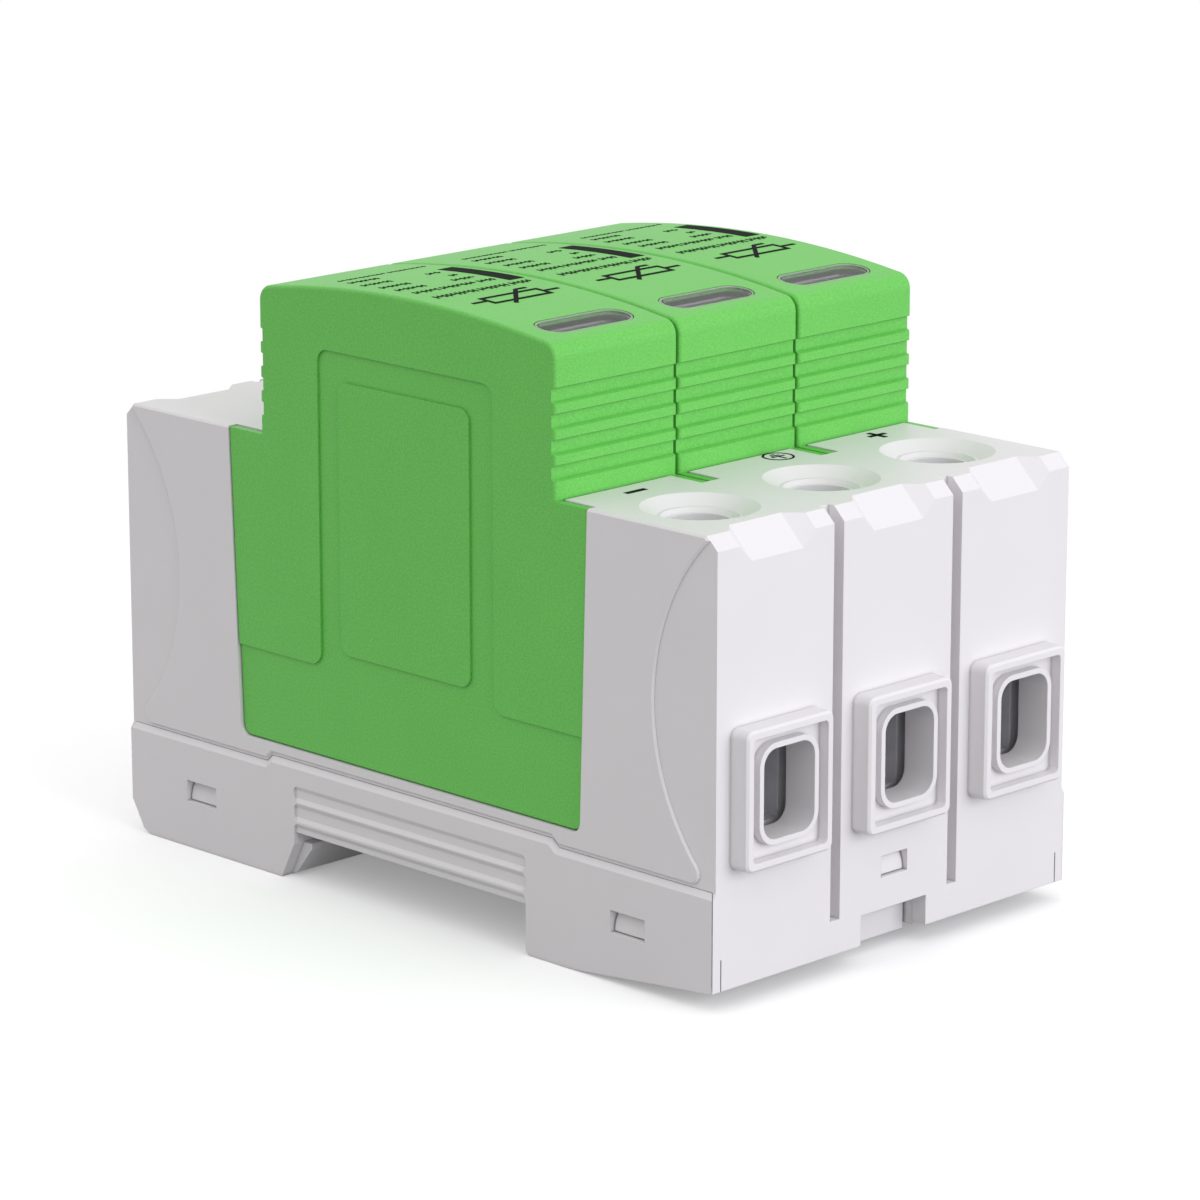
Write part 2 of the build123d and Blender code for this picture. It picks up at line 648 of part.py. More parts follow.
def cartridge_shell(x):
    """Green moulding: arched body, grip ribs at both ends and the two side cheeks."""
    left, right = x - half_cartridge, x + half_cartridge
    near, far = cartridge_d
    body = arch(0, cartridge_low, cartridge_d, (left, right))
    ends = [e for e in body.edges().filter_by(Axis.X) if e.center().Z > crown_z - 5]
    body = fillet(ends, corner_r)
    rim = [e for f in (body.faces().sort_by(Axis.X)[0], body.faces().sort_by(Axis.X)[-1])
           for e in f.edges() if e.center().Z > cartridge_low + 1]
    body = fillet(rim, edge_r)
    for k in range(4):
        low, high = rib_low + k * rib_pitch, rib_low + k * rib_pitch + rib_gap
        groove = side([(near - 1, low), (near, low), (near + rib_deep, low + 0.2),
                       (near + rib_deep, high - 0.2), (near, high), (near - 1, high)],
                      (left - 1, right + 1))
        body -= groove + mirrored(groove)
    inside = arch(shell_wall, cartridge_low - 1, (near + shell_wall, far - shell_wall),
                  (left + cheek, right - cheek))
    body -= inside
    body -= stadium(x, 0, (crown_z - 8, crown_z + 2))
    sides = [cheek_plate(0, (left, left + cheek)), cheek_plate(0, (right - cheek, right))]
    body = joined([body] + sides)
    body -= side_panel(left - 0.01, panel_step + 0.01) + side_panel(right + 0.01, -panel_step - 0.01)
    pin = across(pivot_r, *pivot, (x + 1.8, right - cheek + 0.1))
    return body + pin


def bottom_plate(x):
    """Inner floor of the cartridge with two blade slots."""
    half = room_half - gap
    plate = block((x - half, x + half), room_d, (cartridge_low, plate_top))
    for d in (blade_near, blade_far):
        plate -= block((x - strip_half - 0.02, x + strip_half + 0.02),
                       (d - blade / 2 - 0.02, d + blade / 2 + 0.02), (cartridge_low - 1, plate_top + 1))
    return plate


def window_lens(x):
    """Clear lens held from inside by its flange."""
    room = (x - room_half, x + room_half)
    span = (lens_d - lens_width, lens_d + lens_width)
    wider = (span[0] - 1, span[1] + 1)
    low = crown_z - 8
    lens = stadium(x, -gap, (low, crown_z)) & (
        arch(lens_drop, low, span, room) - arch(shell_wall + 0.1, low - 1, wider, room))
    lens = chamfer(lens.faces().sort_by(Axis.Z)[-1].edges(), lens_edge)
    rim = stadium(x, flange, (low, crown_z)) & (
        arch(shell_wall + gap, low, span, room) - arch(shell_wall + 0.7, low - 1, wider, room))
    return lens + rim


def fault_marker(x):
    """Red plate under the shutter, seen once the lever has swung."""
    return block((x - room_half + 0.1, x + room_half - 2.0), (room_d[0], lens_d + 2.8),
                 (marker_top - marker_thick, marker_top))


def varistor(x):
    """Square metal-oxide block in its coating, with a solder pad on one face."""
    body = block((x - room_half + 0.9, x + varistor_face), varistor_d, varistor_z)
    body = fillet(body.edges().filter_by(Axis.X), 2.0)
    pad = ((x + varistor_face - 0.1, x + varistor_face - 0.1 + pad_thick),
           (pivot[0] + pad_in, pivot[0] + pad_in + pad_size),
           (pivot[1] + pad_rise, pivot[1] + pad_rise + pad_size))
    return body + block(*pad)


def line_blade(x):
    """Near blade with its riser to the pivot."""
    riser = (x + 2.6, x + 3.4)
    near, far = blade_near - blade / 2, blade_near + blade / 2
    part = block((x - strip_half, x + strip_half), (near, far), (blade_low, plate_top + 1.1))
    part = chamfer(part.edges().filter_by(Axis.X).sort_by(Axis.Z)[:2], 0.5)
    part += side([(near, plate_top + 1.15), (far, plate_top + 0.25), (pivot[0] - 5, plate_top + 0.25),
                  (pivot[0] + 1.6, pivot[1] - 1.8), (pivot[0] + 1.6, pivot[1] + 1.6),
                  (pivot[0] - 1.4, pivot[1] + 1.6)], riser) + across(2.6, *pivot, riser)
    return part - across(pivot_r + gap, *pivot, (x, x + 6))


def earth_blade(x):
    """Far blade with a tab up the closed side of the varistor."""
    near, far = blade_far - blade / 2, blade_far + blade / 2
    part = block((x - strip_half, x + strip_half), (near, far), (blade_low, plate_top + 1.1))
    part = chamfer(part.edges().filter_by(Axis.X).sort_by(Axis.Z)[:2], 0.5)
    tab = x - room_half + 0.2
    part += block((tab, x + 1.0), (near, far), (plate_top + gap, plate_top + 1.1))
    return part + block((tab, tab + 0.6), (blade_far - 5, far), (plate_top + gap, pivot[1] + 12))


def pivoted(length, degrees):
    """Point at a length and an angle towards the terminal end from the pivot."""
    a = math.radians(degrees)
    return pivot[0] - length * math.sin(a), pivot[1] + length * math.cos(a)


def trip_lever(x):
    """Lever on the pivot carrying the curved shutter under the window."""
    arm_x = (x + lever_x[0], x + lever_x[1])
    hub = across(2.9, *pivot, (x + 3.6, arm_x[1]))
    aim = sum(flag_turn) / 2
    reach = shutter_out - 0.5
    arm = side([pivoted(2.0, aim + 90), pivoted(2.0, aim - 90), pivoted(reach, aim - 2.6),
                pivoted(reach, aim + 2.6)], arm_x)
    link = side([pivoted(2.2, 70), pivoted(2.2, -110), pivoted(10.6, -26), pivoted(10.6, -14)],
                (x + 3.6, x + 5.0))
    steps = 6
    turns = [flag_turn[0] + (flag_turn[1] - flag_turn[0]) * k / steps for k in range(steps + 1)]
    ring = [pivoted(shutter_out, a) for a in turns] + [pivoted(shutter_in, a) for a in reversed(turns)]
    shutter = side(ring, (x - room_half + 1.1, arm_x[1]))
    return joined([hub, arm, link, shutter]) - across(pivot_r + gap, *pivot, (x, x + 9))


def disconnect_arm(x):
    """Contact arm that the solder holds on the varistor pad."""
    blade_x = (x + varistor_face + 0.2, x + varistor_face + 0.95)
    d, z = pivot
    tip_d, tip_z = d + pad_in + pad_size - 0.4, z + pad_rise + pad_size - 0.2
    arm = side([(d - 1.8, z + 1.0), (d + 1.8, z - 0.8), (tip_d, z + pad_rise + 0.2), (tip_d, tip_z),
                (d + pad_in + 0.4, tip_z)], blade_x)
    arm += across(2.5, d, z, blade_x)
    arm += block((blade_x[0], x + 3.58), (d + 2.4, d + 4.0), (z + 5.6, z + 7.0))
    return arm - across(pivot_r + gap, *pivot, (x, x + 6))


def trip_spring(x):
    """Leaf spring that pushes the lever away from the window."""
    near, (d, z) = room_d[0], pivot
    tip = z + spring_rise
    return side([(near, z - 4), (near + 0.5, z - 4), (near + 0.5, tip - 7.6), (d - 7.0, tip),
                 (d - 7.3, tip + 0.5), (near, tip - 7.2)], (x + lever_x[0] + 0.1, x + lever_x[1] - 0.1))


save("base_cover", base_cover())
save("base_housing", base_housing())
save("rail_clip", rail_clip())
save("star_busbar", star_busbar())
for number, x in enumerate(pole_x, start=1):
    save(f"terminal_screw_{number}", terminal_screw(x))
    save(f"terminal_cage_{number}", terminal_cage(x))
    save(f"contact_bar_{number}", contact_bar(x))
    save(f"near_jaw_{number}", jaw_spring(x, blade_near))
    save(f"far_jaw_{number}", jaw_spring(x, blade_far))
    save(f"cartridge_{number}_shell", cartridge_shell(x))
    save(f"cartridge_{number}_plate", bottom_plate(x))
    save(f"cartridge_{number}_lens", window_lens(x))
    save(f"cartridge_{number}_marker", fault_marker(x))
    save(f"cartridge_{number}_varistor", varistor(x))
    save(f"cartridge_{number}_line_blade", line_blade(x))
    save(f"cartridge_{number}_earth_blade", earth_blade(x))
    save(f"cartridge_{number}_lever", trip_lever(x))
    save(f"cartridge_{number}_arm", disconnect_arm(x))
    save(f"cartridge_{number}_spring", trip_spring(x))
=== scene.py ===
import math

import bmesh
import bpy
from mathutils import Matrix, Vector


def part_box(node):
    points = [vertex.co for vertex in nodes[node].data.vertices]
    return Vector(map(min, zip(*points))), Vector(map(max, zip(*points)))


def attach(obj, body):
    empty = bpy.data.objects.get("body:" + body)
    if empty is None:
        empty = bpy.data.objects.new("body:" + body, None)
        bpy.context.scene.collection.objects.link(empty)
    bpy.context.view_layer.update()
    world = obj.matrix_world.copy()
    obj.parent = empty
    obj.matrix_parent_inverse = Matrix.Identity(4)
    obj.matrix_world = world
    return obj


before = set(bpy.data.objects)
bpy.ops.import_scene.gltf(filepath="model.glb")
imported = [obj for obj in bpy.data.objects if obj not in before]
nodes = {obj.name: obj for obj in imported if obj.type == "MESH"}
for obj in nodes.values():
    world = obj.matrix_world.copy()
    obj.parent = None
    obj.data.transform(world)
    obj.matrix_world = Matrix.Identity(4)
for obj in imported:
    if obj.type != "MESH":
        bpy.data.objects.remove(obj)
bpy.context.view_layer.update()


# Feet cover and rail clip. Two injection mouldings in glass-filled white polyamide: the clip slides
# in the cover on its own bow legs, and the cover snaps under the housing. Spark-eroded tool steel
# leaves the skin satin with a fine grain, and every edge is broken by about 0.1 mm.
MM = 0.001


def linear(hex_colour):
    """sRGB hex to a linear colour with alpha."""
    channels = [int(hex_colour[i:i + 2], 16) / 255 for i in (1, 3, 5)]
    return [c / 12.92 if c <= 0.04045 else ((c + 0.055) / 1.055) ** 2.4 for c in channels] + [1.0]


def add(tree, kind, inputs=None, **settings):
    """Adds one shader node with its settings, and links or fills its inputs."""
    made = tree.nodes.new("ShaderNode" + kind)
    for name, value in settings.items():
        setattr(made, name, value)
    for socket, value in (inputs or {}).items():
        if isinstance(value, bpy.types.NodeSocket):
            tree.links.new(value, made.inputs[socket])
        else:
            made.inputs[socket].default_value = value
    return made


def blank(name):
    """An empty material, its node tree, and the socket that takes its surface."""
    material = bpy.data.materials.new(name)
    material.use_nodes = True
    tree = material.node_tree
    tree.nodes.clear()
    return material, tree, tree.nodes.new("ShaderNodeOutputMaterial").inputs["Surface"]


PIGMENT_CLOUD = 9 * MM
SATIN_SWING = 0.06  # how far the roughness goes up and down over the grain
CREASE_SHADE_REACH = 0.45 * MM  # painted shade darkens creases about this wide
CREASE_SHADE_DEPTH = 0.30  # how much the painted shade darkens the deepest of them
PIT_AND_SHADE_BLACK = linear("#000000")


def moulded_plastic(name, colour, shade, roughness, grain, depth, edge, gloss=0.5, speck=0.0):
    """Moulded polymer: cloudy pigment, spark-eroded grain with pits darker by speck, and painted shade in
    the creases.
    """
    material, tree, surface = blank(name)
    place = add(tree, "TexCoord").outputs["Object"]
    cloud = add(tree, "TexNoise", {"Vector": place, "Scale": 1 / PIGMENT_CLOUD, "Detail": 3.0})
    tint = add(tree, "Mix", {"Factor": cloud.outputs["Fac"], "A": linear(colour), "B": linear(shade)},
               data_type="RGBA")
    pits = add(tree, "TexNoise", {"Vector": place, "Scale": 1 / grain, "Detail": 3.0, "Roughness": 0.65})
    hollow = add(tree, "MapRange", {"Value": pits.outputs["Fac"], "From Min": 0.62, "From Max": 0.38,
                                    "To Min": 0.0, "To Max": speck})
    pitted = add(tree, "Mix", {"Factor": hollow.outputs["Result"], "A": tint.outputs["Result"], "B": PIT_AND_SHADE_BLACK},
                 data_type="RGBA")
    # Painted shade: where ambient occlusion finds a crease, corner or contact, the colour is darkened
    # towards black.
    crease = add(tree, "AmbientOcclusion", {"Distance": CREASE_SHADE_REACH}, samples=6)
    crease_shade = add(tree, "MapRange", {"Value": crease.outputs["AO"], "From Min": 0.4, "From Max": 0.9,
                                  "To Min": CREASE_SHADE_DEPTH, "To Max": 0.0})
    crease_shaded = add(tree, "Mix", {"Factor": crease_shade.outputs["Result"], "A": pitted.outputs["Result"], "B": PIT_AND_SHADE_BLACK},
                data_type="RGBA")
    satin = add(tree, "MapRange", {"Value": pits.outputs["Fac"], "From Min": 0.3, "From Max": 0.7,
                                   "To Min": roughness - SATIN_SWING, "To Max": roughness + SATIN_SWING})
    soft = add(tree, "Bevel", {"Radius": edge}, samples=6)
    skin = add(tree, "Bump", {"Height": pits.outputs["Fac"], "Distance": depth, "Strength": 1.0,
                              "Normal": soft.outputs["Normal"]})
    shader = add(tree, "BsdfPrincipled", {"Base Color": crease_shaded.outputs["Result"], "IOR": 1.53,
                                          "Specular IOR Level": gloss, "Roughness": satin.outputs["Result"],
                                          "Normal": skin.outputs["Normal"]})
    tree.links.new(shader.outputs["BSDF"], surface)
    return material


def dress(name, material):
    """Gives a CAD node its finish."""
    slots = nodes[name].data.materials
    if not slots:
        slots.append(material)
    for k in range(len(slots)):
        slots[k] = material


# White polyamide 6.6 as moulded: near-white with a breath of violet, satin and faintly pitted. The
# real grain is about 0.05 mm; it is drawn at 0.16 mm so that it shows.
white_polyamide = moulded_plastic("white_polyamide_moulded", "#e8e5e7", "#e4e1e3", roughness=0.46,
                                  grain=0.16 * MM, depth=0.007 * MM, edge=0.10 * MM)
dress("base_cover", white_polyamide)
dress("rail_clip", white_polyamide)


# Housing with the marks of its poles. One large moulding in the same polyamide, open below, with
# its marks printed on the shoulder beside the screw holes in black pad-print ink: minus, earth in
# a ring, and plus. The ink lies 0.03 mm proud and is duller than the plastic.
dress("base_housing", white_polyamide)

END_FACE = 43.55 * MM  # from the middle to the terminal end; print is placed from there
SHOULDER = 48.7 * MM  # height of the top beside the screw holes
INK = 0.03 * MM


def finished(name, mesh, material, body):
    """Makes a piece of a bmesh that is already in its place, in one finish, riding on a body."""
    data = bpy.data.meshes.new(name)
    mesh.to_mesh(data)
    mesh.free()
    data.materials.append(material)
    piece = bpy.data.objects.new(name, data)
    bpy.context.scene.collection.objects.link(piece)
    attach(piece, body)
    return piece


def stroke(mesh, start, end, wide):
    """Adds a printed stroke at height 0 between two points, each mm across and mm from the end face."""
    a, b = [Vector((x, d, 0)) * MM - Vector((0, END_FACE, 0)) for x, d in (start, end)]
    made = bmesh.ops.create_cube(mesh, size=1.0)["verts"]
    bmesh.ops.scale(mesh, vec=((b - a).length, wide * MM, 2 * INK), verts=made)
    turn = math.atan2(b.y - a.y, b.x - a.x)
    bmesh.ops.rotate(mesh, cent=(0, 0, 0), matrix=Matrix.Rotation(turn, 3, "Z"), verts=made)
    bmesh.ops.translate(mesh, vec=(a + b) / 2, verts=made)


def ring(mesh, middle, radius, wide):
    """Starts a mesh with a printed ring at height 0 round a point given as in stroke."""
    made = bmesh.ops.create_grid(mesh, x_segments=1, y_segments=1, size=0.5)["verts"]
    bmesh.ops.scale(mesh, vec=(wide * MM, 2 * INK, 1), verts=made)
    bmesh.ops.rotate(mesh, cent=(0, 0, 0), matrix=Matrix.Rotation(math.pi / 2, 3, "X"), verts=made)
    bmesh.ops.translate(mesh, vec=(radius * MM, 0, 0), verts=made)
    bmesh.ops.delete(mesh, geom=mesh.faces[:], context="FACES_ONLY")
    bmesh.ops.spin(mesh, geom=made + mesh.edges[:], cent=(0, 0, 0), axis=(0, 0, 1), angle=2 * math.pi,
                   steps=40, use_merge=True)
    bmesh.ops.recalc_face_normals(mesh, faces=mesh.faces)
    bmesh.ops.translate(mesh, vec=(middle[0] * MM, middle[1] * MM - END_FACE, 0), verts=mesh.verts)


# Pad-print ink: black two-part epoxy, matt, with soft patches where the pad laid it thinner.
ink_black, tree, surface = blank("pad_print_ink_black")
place = add(tree, "TexCoord").outputs["Object"]
patches = add(tree, "TexNoise", {"Vector": place, "Scale": 1 / (1.2 * MM), "Detail": 2.0})
tint = add(tree, "Mix", {"Factor": patches.outputs["Fac"], "A": linear("#0f1110"), "B": linear("#181b19")},
           data_type="RGBA")
shader = add(tree, "BsdfPrincipled", {"Base Color": tint.outputs["Result"], "Roughness": 0.6, "IOR": 1.5,
                                      "Specular IOR Level": 0.02})
tree.links.new(shader.outputs["BSDF"], surface)

minus = bmesh.new()
stroke(minus, (-19.25, 19.8), (-16.35, 19.8), wide=0.7)
plus = bmesh.new()
stroke(plus, (17.6, 20.1), (20.2, 20.1), wide=0.6)
stroke(plus, (18.9, 18.8), (18.9, 21.4), wide=0.6)
earth = bmesh.new()
ring(earth, (4.0, 20.5), radius=1.62, wide=0.25)
stroke(earth, (4.0, 19.3), (4.0, 20.5), wide=0.25)
for half, d in ((0.95, 20.5), (0.6, 20.95), (0.28, 21.4)):
    stroke(earth, (4.0 - half, d), (4.0 + half, d), wide=0.22)
for name, mark in (("mark_minus", minus), ("mark_plus", plus), ("mark_earth", earth)):
    bmesh.ops.translate(mark, vec=(0, 0, SHOULDER), verts=mark.verts)
    finished(name, mark, ink_black, "base")


# Busbars, contact bars and jaw springs. The bars are punched from copper strip and tin plated, and
# carry the current from each cage to its cartridge; the jaws are bent from spring steel strip.
# Matt tin is pale and slightly warm, with dull clouds; the steel is bluer and keeps its rolling lines.
# The lines are about 0.03 mm wide on the real strip and are drawn at 0.10 to 0.14 mm so that they show.
ALONG_STRIP = (1.0, 0.06, 0.06)  # draws the rolling lines out to 16 times their width
DULL_SWING = 0.08


def plated_metal(name, colour, shade, roughness, cloud, line, edge, metallic=1.0):
    """Strip metal: plating with clouds of one size over rolling lines of another, and burnished edges."""
    material, tree, surface = blank(name)
    place = add(tree, "TexCoord").outputs["Object"]
    clouds = add(tree, "TexNoise", {"Vector": place, "Scale": 1 / cloud, "Detail": 4.0})
    tint = add(tree, "Mix", {"Factor": clouds.outputs["Fac"], "A": linear(colour), "B": linear(shade)},
               data_type="RGBA")
    drawn = add(tree, "Mapping", {"Vector": place, "Scale": ALONG_STRIP})
    lines = add(tree, "TexNoise", {"Vector": drawn.outputs["Vector"], "Scale": 1 / line, "Detail": 2.0})
    dull = add(tree, "MapRange", {"Value": clouds.outputs["Fac"], "From Min": 0.3, "From Max": 0.7,
                                  "To Min": roughness - DULL_SWING, "To Max": roughness + DULL_SWING})
    soft = add(tree, "Bevel", {"Radius": edge}, samples=4)
    skin = add(tree, "Bump", {"Height": lines.outputs["Fac"], "Distance": 0.004 * MM, "Strength": 0.8,
                              "Normal": soft.outputs["Normal"]})
    shader = add(tree, "BsdfPrincipled", {"Base Color": tint.outputs["Result"], "Metallic": metallic,
                                          "Roughness": dull.outputs["Result"],
                                          "Normal": skin.outputs["Normal"]})
    tree.links.new(shader.outputs["BSDF"], surface)
    return material


poles = (1, 2, 3)
matt_tin = plated_metal("matt_tin_on_copper", "#cfccc5", "#bab6ae", roughness=0.40, cloud=2.5 * MM,
                        line=0.12 * MM, edge=0.12 * MM)
spring_strip = plated_metal("rolled_spring_steel", "#a9adb2", "#93979d", roughness=0.30, cloud=4 * MM,
                            line=0.10 * MM, edge=0.08 * MM)
dress("star_busbar", matt_tin)
for k in poles:
    dress(f"contact_bar_{k}", matt_tin)
    dress(f"near_jaw_{k}", spring_strip)
    dress(f"far_jaw_{k}", spring_strip)


# Lift cages and terminal screws. Each cage is folded from steel strip and its screw is cold headed;
# the screws are plated with bluish zinc. The cages have a zinc-flake coat, a dull grey paint of metal
# flakes in a binder, so little of their shine is a metal's.
zinc_flake = plated_metal("zinc_flake_coat", "#d2d1d5", "#c0bfc4", roughness=0.6, cloud=1.6 * MM,
                          line=0.14 * MM, edge=0.2 * MM, metallic=0.15)
blue_zinc = plated_metal("zinc_plated_bluish", "#c3c7cc", "#aeb3ba", roughness=0.33, cloud=1.8 * MM,
                         line=0.12 * MM, edge=0.12 * MM)
for k in poles:
    dress(f"terminal_cage_{k}", zinc_flake)
    dress(f"terminal_screw_{k}", blue_zinc)


# Inside of each cartridge. A varistor disc dipped in blue epoxy stands between two tinned blades; a
# brass arm is soldered to it, and the grey shutter lever with its leaf spring waits for the solder
# to melt. The red marker lies under the shutter, and a black plate closes the cartridge below.
# The three small mouldings are satin; their grain is drawn three to five times its real size.
black_pbt = moulded_plastic("black_polyester_moulded", "#232425", "#1d1e1f", roughness=0.5,
                            grain=0.2 * MM, depth=0.01 * MM, edge=0.15 * MM)
grey_acetal = moulded_plastic("grey_acetal_moulded", "#6c696d", "#646165", roughness=0.42,
                              grain=0.25 * MM, depth=0.006 * MM, edge=0.15 * MM)
red_abs = moulded_plastic("red_abs_moulded", "#c5221c", "#b81d18", roughness=0.3,
                          grain=0.3 * MM, depth=0.004 * MM, edge=0.1 * MM)
rolled_brass = plated_metal("rolled_brass", "#cda75c", "#bd954a", roughness=0.30, cloud=3 * MM,
                            line=0.10 * MM, edge=0.08 * MM)

# Dipped epoxy: a thick wavy coat that ran a little before it cured, glossy, deep blue.
blue_epoxy, tree, surface = blank("blue_epoxy_dipped")
place = add(tree, "TexCoord").outputs["Object"]
runs = add(tree, "TexNoise", {"Vector": place, "Scale": 1 / (2.2 * MM), "Detail": 2.0})
tint = add(tree, "Mix", {"Factor": runs.outputs["Fac"], "A": linear("#27508c"), "B": linear("#1d3f73")},
           data_type="RGBA")
skin = add(tree, "Bump", {"Height": runs.outputs["Fac"], "Distance": 0.12 * MM, "Strength": 0.7})
shader = add(tree, "BsdfPrincipled", {"Base Color": tint.outputs["Result"], "Roughness": 0.24, "IOR": 1.55,
                                      "Normal": skin.outputs["Normal"]})
tree.links.new(shader.outputs["BSDF"], surface)

for k in poles:
    dress(f"cartridge_{k}_plate", black_pbt)
    dress(f"cartridge_{k}_lever", grey_acetal)
    dress(f"cartridge_{k}_marker", red_abs)
    dress(f"cartridge_{k}_varistor", blue_epoxy)
    dress(f"cartridge_{k}_line_blade", matt_tin)
    dress(f"cartridge_{k}_earth_blade", matt_tin)
    dress(f"cartridge_{k}_arm", rolled_brass)
    dress(f"cartridge_{k}_spring", spring_strip)


# Cartridge shells and their windows. The shell is moulded in green polyester with a coarser satin
# grain than the base, whose pits look darker. The window is a polished clear polycarbonate plug, held
# from inside by its flange, with a pale bead round its face whose light colour is a painted highlight.

# Green polybutylene terephthalate as moulded: satin and visibly grained. The real grain is about
# 0.1 mm; it is drawn at 0.22 mm so that it shows.
green_pbt = moulded_plastic("green_polyester_moulded", "#70cf5a", "#6aca55", roughness=0.46,
                            grain=0.22 * MM, depth=0.028 * MM, edge=0.06 * MM, gloss=0.4, speck=0.16)

# Clear polycarbonate: polished, with the slight waviness of a thick moulding. Lamps reach through.
# Its IOR is set below polycarbonate's 1.585, so that the face mirrors the sky as little as the real one.
clear_window, tree, surface = blank("clear_polycarbonate")
place = add(tree, "TexCoord").outputs["Object"]
waves = add(tree, "TexNoise", {"Vector": place, "Scale": 1 / (2.5 * MM), "Detail": 1.0})
skin = add(tree, "Bump", {"Height": waves.outputs["Fac"], "Distance": 0.03 * MM, "Strength": 0.5})
shader = add(tree, "BsdfPrincipled", {"Base Color": linear("#f7faf7"), "Roughness": 0.04, "IOR": 1.2,
                                      "Specular IOR Level": 0.2, "Transmission Weight": 1.0,
                                      "Normal": skin.outputs["Normal"]})
open_way = add(tree, "BsdfTransparent", {"Color": linear("#f0f4f0")})
lamp_ray = add(tree, "LightPath").outputs["Is Shadow Ray"]
both = add(tree, "MixShader", {0: lamp_ray, 1: shader.outputs["BSDF"], 2: open_way.outputs["BSDF"]})
tree.links.new(both.outputs["Shader"], surface)
for k in poles:
    dress(f"cartridge_{k}_shell", green_pbt)
    dress(f"cartridge_{k}_lens", clear_window)

# Painted highlight: a pale, partly clear bead round the window's face stands in for the glints along
# the lens rim and shows as a thin pale line.
rim_highlight_paint, tree, surface = blank("clear_polycarbonate_rim_painted_highlight")
place = add(tree, "TexCoord").outputs["Object"]
highlight_mottle = add(tree, "TexNoise", {"Vector": place, "Scale": 1 / (0.4 * MM), "Detail": 2.0})
tint = add(tree, "Mix", {"Factor": highlight_mottle.outputs["Fac"], "A": linear("#bcc4ba"), "B": linear("#a5ada3")},
           data_type="RGBA")
shader = add(tree, "BsdfPrincipled", {"Base Color": tint.outputs["Result"], "Roughness": 0.3, "IOR": 1.585,
                                      "Transmission Weight": 0.35})
tree.links.new(shader.outputs["BSDF"], surface)

CROWN = 66.4 * MM  # height of the arch, and the place of its middle and its radius
ARCH_MIDDLE = 44.75 * MM - END_FACE
ARCH_RADIUS = 138.6 * MM
WINDOW_PLACE = 27.1 * MM - END_FACE
WINDOW_ACROSS, WINDOW_ALONG = 12.4 * MM, 4.1 * MM
BEAD_WIDE = BEAD_THICK = 0.22 * MM
BEAD_ROUND = 0.06 * MM
BEAD_BELOW = 0.04 * MM  # the bead's top lies this far under the arch
ROUND_STEPS = 48


def onto_arch(mesh, sink):
    """Lifts a flat mesh onto the arched top, sunk by some metres."""
    for v in mesh.verts:
        v.co.z += CROWN - ARCH_RADIUS - sink + math.sqrt(ARCH_RADIUS ** 2 - (v.co.y - ARCH_MIDDLE) ** 2)


# Each window gets the pale bead whose colour is the painted highlight of its rim.
for k in poles:
    bead = bmesh.new()
    bmesh.ops.create_circle(bead, cap_ends=True, radius=WINDOW_ALONG / 2, segments=ROUND_STEPS)
    half_step = Matrix.Rotation(math.pi / ROUND_STEPS, 3, "Z")
    bmesh.ops.rotate(bead, cent=(0, 0, 0), matrix=half_step, verts=bead.verts)
    for side in (-1, 1):
        bmesh.ops.translate(bead, vec=(side * (WINDOW_ACROSS - WINDOW_ALONG) / 2, 0, 0),
                            verts=[v for v in bead.verts if v.co.x * side > 0])
    field = bead.faces[:]
    bmesh.ops.inset_region(bead, faces=field, thickness=BEAD_WIDE, use_boundary=True, use_even_offset=True)
    bmesh.ops.delete(bead, geom=field, context="FACES")
    bmesh.ops.solidify(bead, geom=bead.faces[:], thickness=BEAD_THICK)
    bmesh.ops.recalc_face_normals(bead, faces=bead.faces)
    sharp = [e for e in bead.edges if e.calc_face_angle(0) > 1.0]
    bmesh.ops.bevel(bead, geom=sharp, offset=BEAD_ROUND, offset_type="OFFSET", affect="EDGES", segments=2,
                    profile=0.5, material=-1)
    low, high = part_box(f"cartridge_{k}_shell")
    bmesh.ops.translate(bead, vec=((low.x + high.x) / 2, WINDOW_PLACE, 0), verts=bead.verts)
    top = max(v.co.z for v in bead.verts)
    onto_arch(bead, top + BEAD_BELOW)
    finished(f"window_bead_{k}", bead, rim_highlight_paint, f"cartridge_{k}")


# Print on the cartridge tops. Black pad print on the arch, upside down to the terminals: the circuit
# symbol of a varistor in bold strokes, a solid bar beside it, and hatched rows in place of small type.
# All places are mm across from the cartridge's middle and mm from the terminal end.
SYMBOL = [  # two leads, the body's long and short sides, and the bent arm across it
    ((-5.4, 37.8), (-3.2, 37.8)), ((4.7, 37.8), (6.9, 37.8)),
    ((-3.45, 36.7), (4.95, 36.7)), ((-3.45, 38.9), (4.95, 38.9)),
    ((-3.2, 36.7), (-3.2, 38.9)), ((4.7, 36.7), (4.7, 38.9)),
    ((-1.3, 35.6), (2.8, 40.0)), ((2.8, 40.0), (4.3, 40.0)),
]
ROWS = [  # place, height, and start and end of each run
    (42.3, 1.1, (-6.4, -0.6), (-0.1, 3.9), (4.4, 7.2)), (45.5, 1.0, (-6.3, -3.0), (-2.5, 2.3), (2.8, 5.0)),
    (48.0, 0.9, (-6.5, -2.6), (1.5, 4.5)), (50.4, 0.9, (-6.5, -2.6), (3.4, 4.4)),
    (53.2, 0.9, (-6.5, -2.6), (2.7, 4.5)), (56.0, 0.9, (-5.8, -1.7)), (58.4, 0.6, (-5.1, 1.4), (1.9, 6.9)),
]
BAR = ((6.7, 43.8), (6.7, 54.8))
TICK_PITCH, TICK_WIDE = 0.62, 0.22
